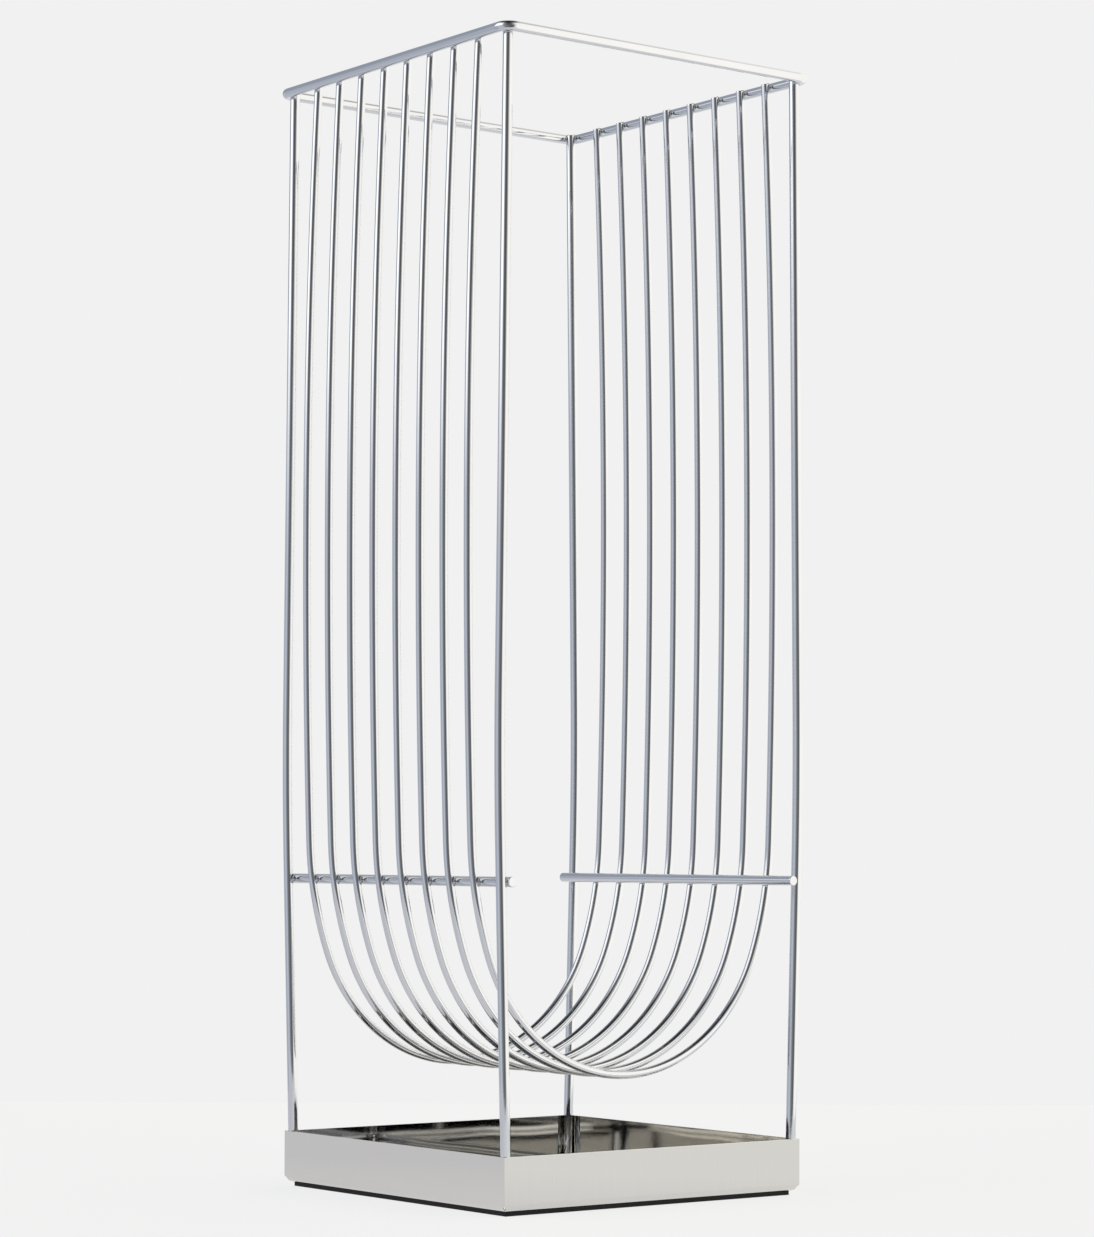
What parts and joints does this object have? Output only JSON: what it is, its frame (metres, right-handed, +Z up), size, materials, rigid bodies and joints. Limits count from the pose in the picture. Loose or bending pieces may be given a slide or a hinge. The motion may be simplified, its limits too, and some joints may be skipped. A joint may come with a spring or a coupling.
{
  "type": "umbrella stand",
  "caption": "Tall square wire umbrella stand: bent chrome wires hang in a cradle from a square rim, above a shallow folded metal drip tray on a black foot pad.",
  "frame": {"origin": "on the floor, under the middle of the tray", "axes": "+Z up; the wired sides face +X and -X, the open front faces -Y and the open back +Y"},
  "size_m": [0.2372, 0.234, 0.675],
  "materials": {
    "chrome_frame": "polished",
    "tray_steel": "satin",
    "pad_rubber": "matte"
  },
  "bodies": {
    "root": {"corner_post_back_left": "chrome_frame", "corner_post_back_right": "chrome_frame", "corner_post_front_left": "chrome_frame", "corner_post_front_right": "chrome_frame", "cross_bar_left": "chrome_frame", "cross_bar_right": "chrome_frame", "rim_ring": "chrome_frame", "u_wire_1": "chrome_frame", "u_wire_2": "chrome_frame", "u_wire_3": "chrome_frame", "u_wire_4": "chrome_frame", "u_wire_5": "chrome_frame", "u_wire_6": "chrome_frame", "u_wire_7": "chrome_frame", "u_wire_8": "chrome_frame", "tray": "tray_steel", "pad_backing": "pad_rubber", "pad_sole": "pad_rubber"}
  },
  "joints": []
}
